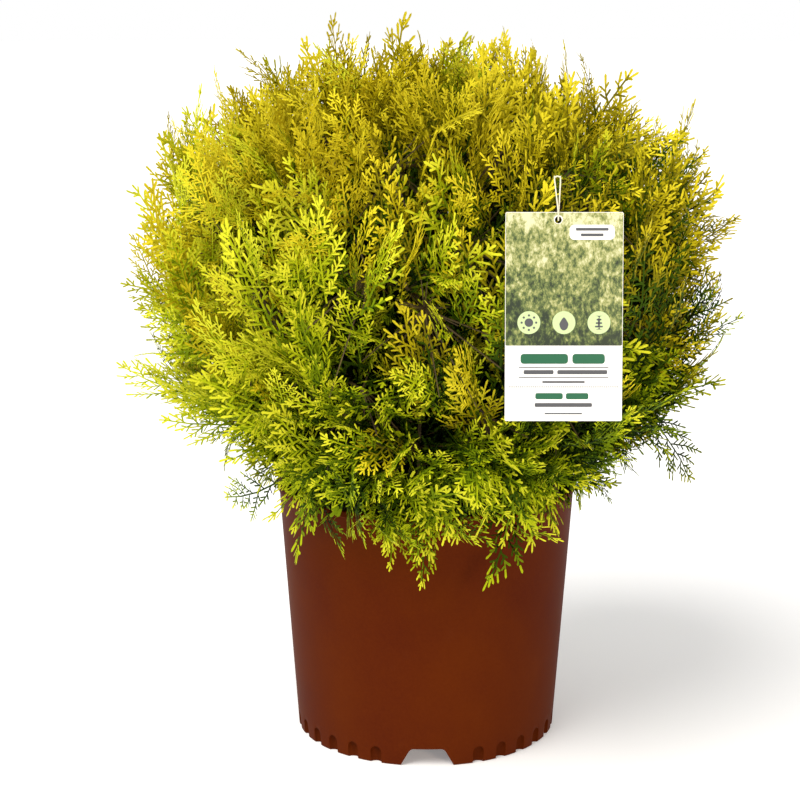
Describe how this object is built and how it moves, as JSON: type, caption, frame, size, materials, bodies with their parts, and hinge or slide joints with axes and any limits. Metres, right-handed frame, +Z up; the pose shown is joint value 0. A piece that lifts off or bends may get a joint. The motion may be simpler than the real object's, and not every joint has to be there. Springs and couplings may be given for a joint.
{
  "type": "potted dwarf hinoki cypress",
  "caption": "Dwarf conifer with a dense globe of golden-green fan sprays on boughs round a short trunk, in a round tapering nursery pot, with a plain hang tag on an elastic loop.",
  "frame": {"origin": "middle of the plant's width and depth, on the ground under the pot", "axes": "+Z up; the side with the hang tag faces -Y"},
  "size_m": [0.5718, 0.5682, 0.6655],
  "materials": {
    "pot_plastic": "satin red-brown injection-moulded plastic",
    "potting_mix": "dark crumbly bark and peat",
    "bark": "thin red-brown fibrous bark",
    "foliage": "golden yellow-green scale leaves, matte",
    "tag_card": "printed plastic card",
    "elastic": "white elastic"
  },
  "bodies": {
    "root": {"pot": "pot_plastic", "potting_soil": "potting_mix", "trunk": "bark", "bough_skirt_1": "bark", "bough_skirt_2": "bark", "bough_skirt_3": "bark", "bough_skirt_4": "bark", "bough_skirt_5": "bark", "bough_skirt_6": "bark", "bough_skirt_7": "bark", "bough_lower_1": "bark", "bough_lower_2": "bark", "bough_lower_3": "bark", "bough_lower_4": "bark", "bough_lower_5": "bark", "bough_lower_6": "bark", "bough_lower_7": "bark", "bough_middle_1": "bark", "bough_middle_2": "bark", "bough_middle_3": "bark", "bough_middle_4": "bark", "bough_middle_5": "bark", "bough_middle_6": "bark", "bough_middle_7": "bark", "bough_upper_1": "bark", "bough_upper_2": "bark", "bough_upper_3": "bark", "bough_upper_4": "bark", "bough_upper_5": "bark", "foliage_skirt_1": "foliage", "foliage_skirt_2": "foliage", "foliage_skirt_3": "foliage", "foliage_skirt_4": "foliage", "foliage_skirt_5": "foliage", "foliage_skirt_6": "foliage", "foliage_skirt_7": "foliage", "foliage_lower_1": "foliage", "foliage_lower_2": "foliage", "foliage_lower_3": "foliage", "foliage_lower_4": "foliage", "foliage_lower_5": "foliage", "foliage_lower_6": "foliage", "foliage_lower_7": "foliage", "foliage_middle_1": "foliage", "foliage_middle_2": "foliage", "foliage_middle_3": "foliage", "foliage_middle_4": "foliage", "foliage_middle_5": "foliage", "foliage_middle_6": "foliage", "foliage_middle_7": "foliage", "foliage_upper_1": "foliage", "foliage_upper_2": "foliage", "foliage_upper_3": "foliage", "foliage_upper_4": "foliage", "foliage_upper_5": "foliage", "foliage_top": "foliage", "tag": "tag_card", "tag_string": "elastic"}
  },
  "joints": []
}
